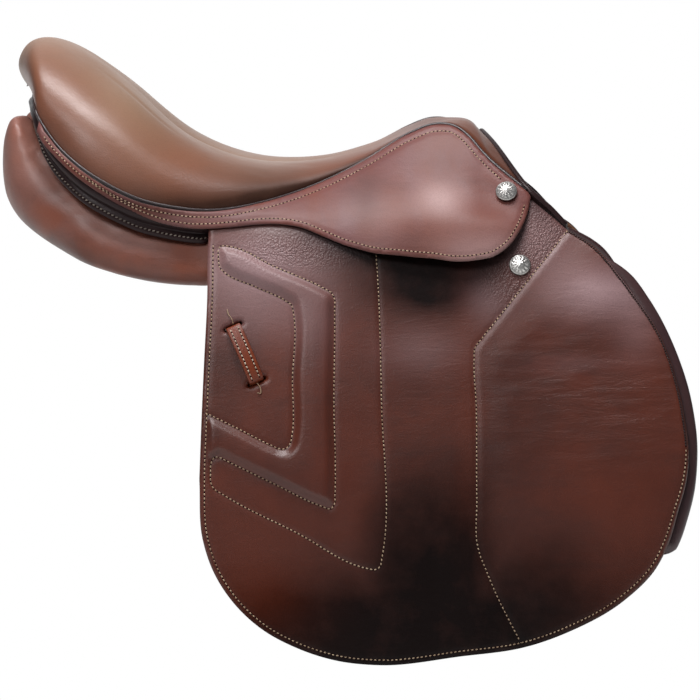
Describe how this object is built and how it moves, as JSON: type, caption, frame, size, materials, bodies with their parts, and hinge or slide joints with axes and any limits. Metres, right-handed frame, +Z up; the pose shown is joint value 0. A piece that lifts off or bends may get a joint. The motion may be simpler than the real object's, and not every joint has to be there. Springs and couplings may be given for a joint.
{
  "type": "english close-contact saddle",
  "caption": "English close-contact saddle with deep seat, forward flaps that lift, stirrup bars with turning catches and girth billets.",
  "frame": {"origin": "on the centreline under the seat's deepest point, at the level where the panels bear on the horse", "axes": "+X towards the horse's head, +Y to the saddle's left, +Z up"},
  "size_m": [0.6061, 0.478, 0.5274],
  "materials": {
    "seat_leather": "smooth bridle leather, soft sheen",
    "skirt_leather": "smooth leather, soft sheen",
    "flap_leather": "worn leather",
    "dark_leather": "dark leather",
    "keeper_leather": "newer red brown leather",
    "panel_leather": "soft panel leather",
    "tree_wood": "laminated beech",
    "spring_steel": "oiled spring steel",
    "stainless_steel": "forged stainless steel",
    "antique_silver": "antique silver",
    "webbing": "linen webbing",
    "seat_foam": "latex foam"
  },
  "bodies": {
    "saddle": {"seat_cover": "seat_leather", "seat_foam": "seat_foam", "seat_web_long": "webbing", "seat_web_cross": "webbing", "tree_frame": "tree_wood", "head_plate": "spring_steel", "channel_lining": "panel_leather", "seat_welt": "dark_leather", "cantle_facing": "dark_leather", "pommel_facing": "dark_leather", "tree_spring_right": "spring_steel", "tree_side_right": "tree_wood", "panel_right": "panel_leather", "skirt_right": "skirt_leather", "flap_top_right": "flap_leather", "sweat_flap_right": "panel_leather", "knee_roll_right": "dark_leather", "billet_web_right": "webbing", "stirrup_bar_right": "stainless_steel", "catch_pin_right": "spring_steel", "bar_rivet_rear_right": "spring_steel", "bar_rivet_front_right": "spring_steel", "skirt_nail_right": "antique_silver", "flap_nail_right": "antique_silver", "tree_spring_left": "spring_steel", "tree_side_left": "tree_wood", "panel_left": "panel_leather", "skirt_left": "skirt_leather", "flap_top_left": "flap_leather", "sweat_flap_left": "panel_leather", "knee_roll_left": "dark_leather", "billet_web_left": "webbing", "stirrup_bar_left": "stainless_steel", "catch_pin_left": "spring_steel", "bar_rivet_rear_left": "spring_steel", "bar_rivet_front_left": "spring_steel", "skirt_nail_left": "antique_silver", "flap_nail_left": "antique_silver"},
    "flap_right": {"flap_right": "flap_leather", "flap_pad_right": "flap_leather", "leather_keeper_right": "keeper_leather"},
    "lobe_right": {"skirt_lobe_right": "skirt_leather"},
    "catch_right": {"bar_catch_right": "stainless_steel"},
    "billet_rear_right": {"billet_rear_right": "flap_leather"},
    "billet_middle_right": {"billet_middle_right": "flap_leather"},
    "billet_front_right": {"billet_front_right": "flap_leather"},
    "flap_left": {"flap_left": "flap_leather", "flap_pad_left": "flap_leather", "leather_keeper_left": "keeper_leather"},
    "lobe_left": {"skirt_lobe_left": "skirt_leather"},
    "catch_left": {"bar_catch_left": "stainless_steel"},
    "billet_rear_left": {"billet_rear_left": "flap_leather"},
    "billet_middle_left": {"billet_middle_left": "flap_leather"},
    "billet_front_left": {"billet_front_left": "flap_leather"}
  },
  "joints": [
    {"name": "flap_lift_right", "type": "hinge", "parent": "saddle", "child": "flap_right", "pos_m": [-0.07809, -0.15417, 0.01607], "axis": [-0.9923, 0, 0.1242], "range_deg": [0, 95]},
    {"name": "lobe_lift_right", "type": "hinge", "parent": "saddle", "child": "lobe_right", "pos_m": [-0.01432, -0.14264, 0.03341], "axis": [-0.9988, -0.0434, -0.0215], "range_deg": [0, 70]},
    {"name": "catch_turn_right", "type": "hinge", "parent": "saddle", "child": "catch_right", "pos_m": [0.10473, -0.1405, 0.02185], "axis": [-0.0422, 0.878, -0.4768], "range_deg": [0, 85]},
    {"name": "billet_swing_rear_right", "type": "hinge", "parent": "saddle", "child": "billet_rear_right", "pos_m": [-0.00043, -0.15298, -0.03047], "axis": [0.0439, -0.9355, 0.3506], "range_deg": [-5, 5]},
    {"name": "billet_swing_middle_right", "type": "hinge", "parent": "saddle", "child": "billet_middle_right", "pos_m": [0.05456, -0.1504, -0.03052], "axis": [0.0445, -0.9338, 0.3551], "range_deg": [-5, 5]},
    {"name": "billet_swing_front_right", "type": "hinge", "parent": "saddle", "child": "billet_front_right", "pos_m": [0.10955, -0.14778, -0.03056], "axis": [0.045, -0.932, 0.3595], "range_deg": [-5, 5]},
    {"name": "flap_lift_left", "type": "hinge", "parent": "saddle", "child": "flap_left", "pos_m": [-0.07809, 0.15417, 0.01607], "axis": [0.9923, 0, -0.1242], "range_deg": [0, 95]},
    {"name": "lobe_lift_left", "type": "hinge", "parent": "saddle", "child": "lobe_left", "pos_m": [-0.01432, 0.14264, 0.03341], "axis": [0.9988, -0.0434, 0.0215], "range_deg": [0, 70]},
    {"name": "catch_turn_left", "type": "hinge", "parent": "saddle", "child": "catch_left", "pos_m": [0.10473, 0.1405, 0.02185], "axis": [0.0422, 0.878, 0.4768], "range_deg": [0, 85]},
    {"name": "billet_swing_rear_left", "type": "hinge", "parent": "saddle", "child": "billet_rear_left", "pos_m": [-0.00043, 0.15298, -0.03047], "axis": [0.0439, 0.9355, 0.3506], "range_deg": [-5, 5]},
    {"name": "billet_swing_middle_left", "type": "hinge", "parent": "saddle", "child": "billet_middle_left", "pos_m": [0.05456, 0.1504, -0.03052], "axis": [0.0445, 0.9338, 0.3551], "range_deg": [-5, 5]},
    {"name": "billet_swing_front_left", "type": "hinge", "parent": "saddle", "child": "billet_front_left", "pos_m": [0.10955, 0.14778, -0.03056], "axis": [0.045, 0.932, 0.3595], "range_deg": [-5, 5]}
  ]
}
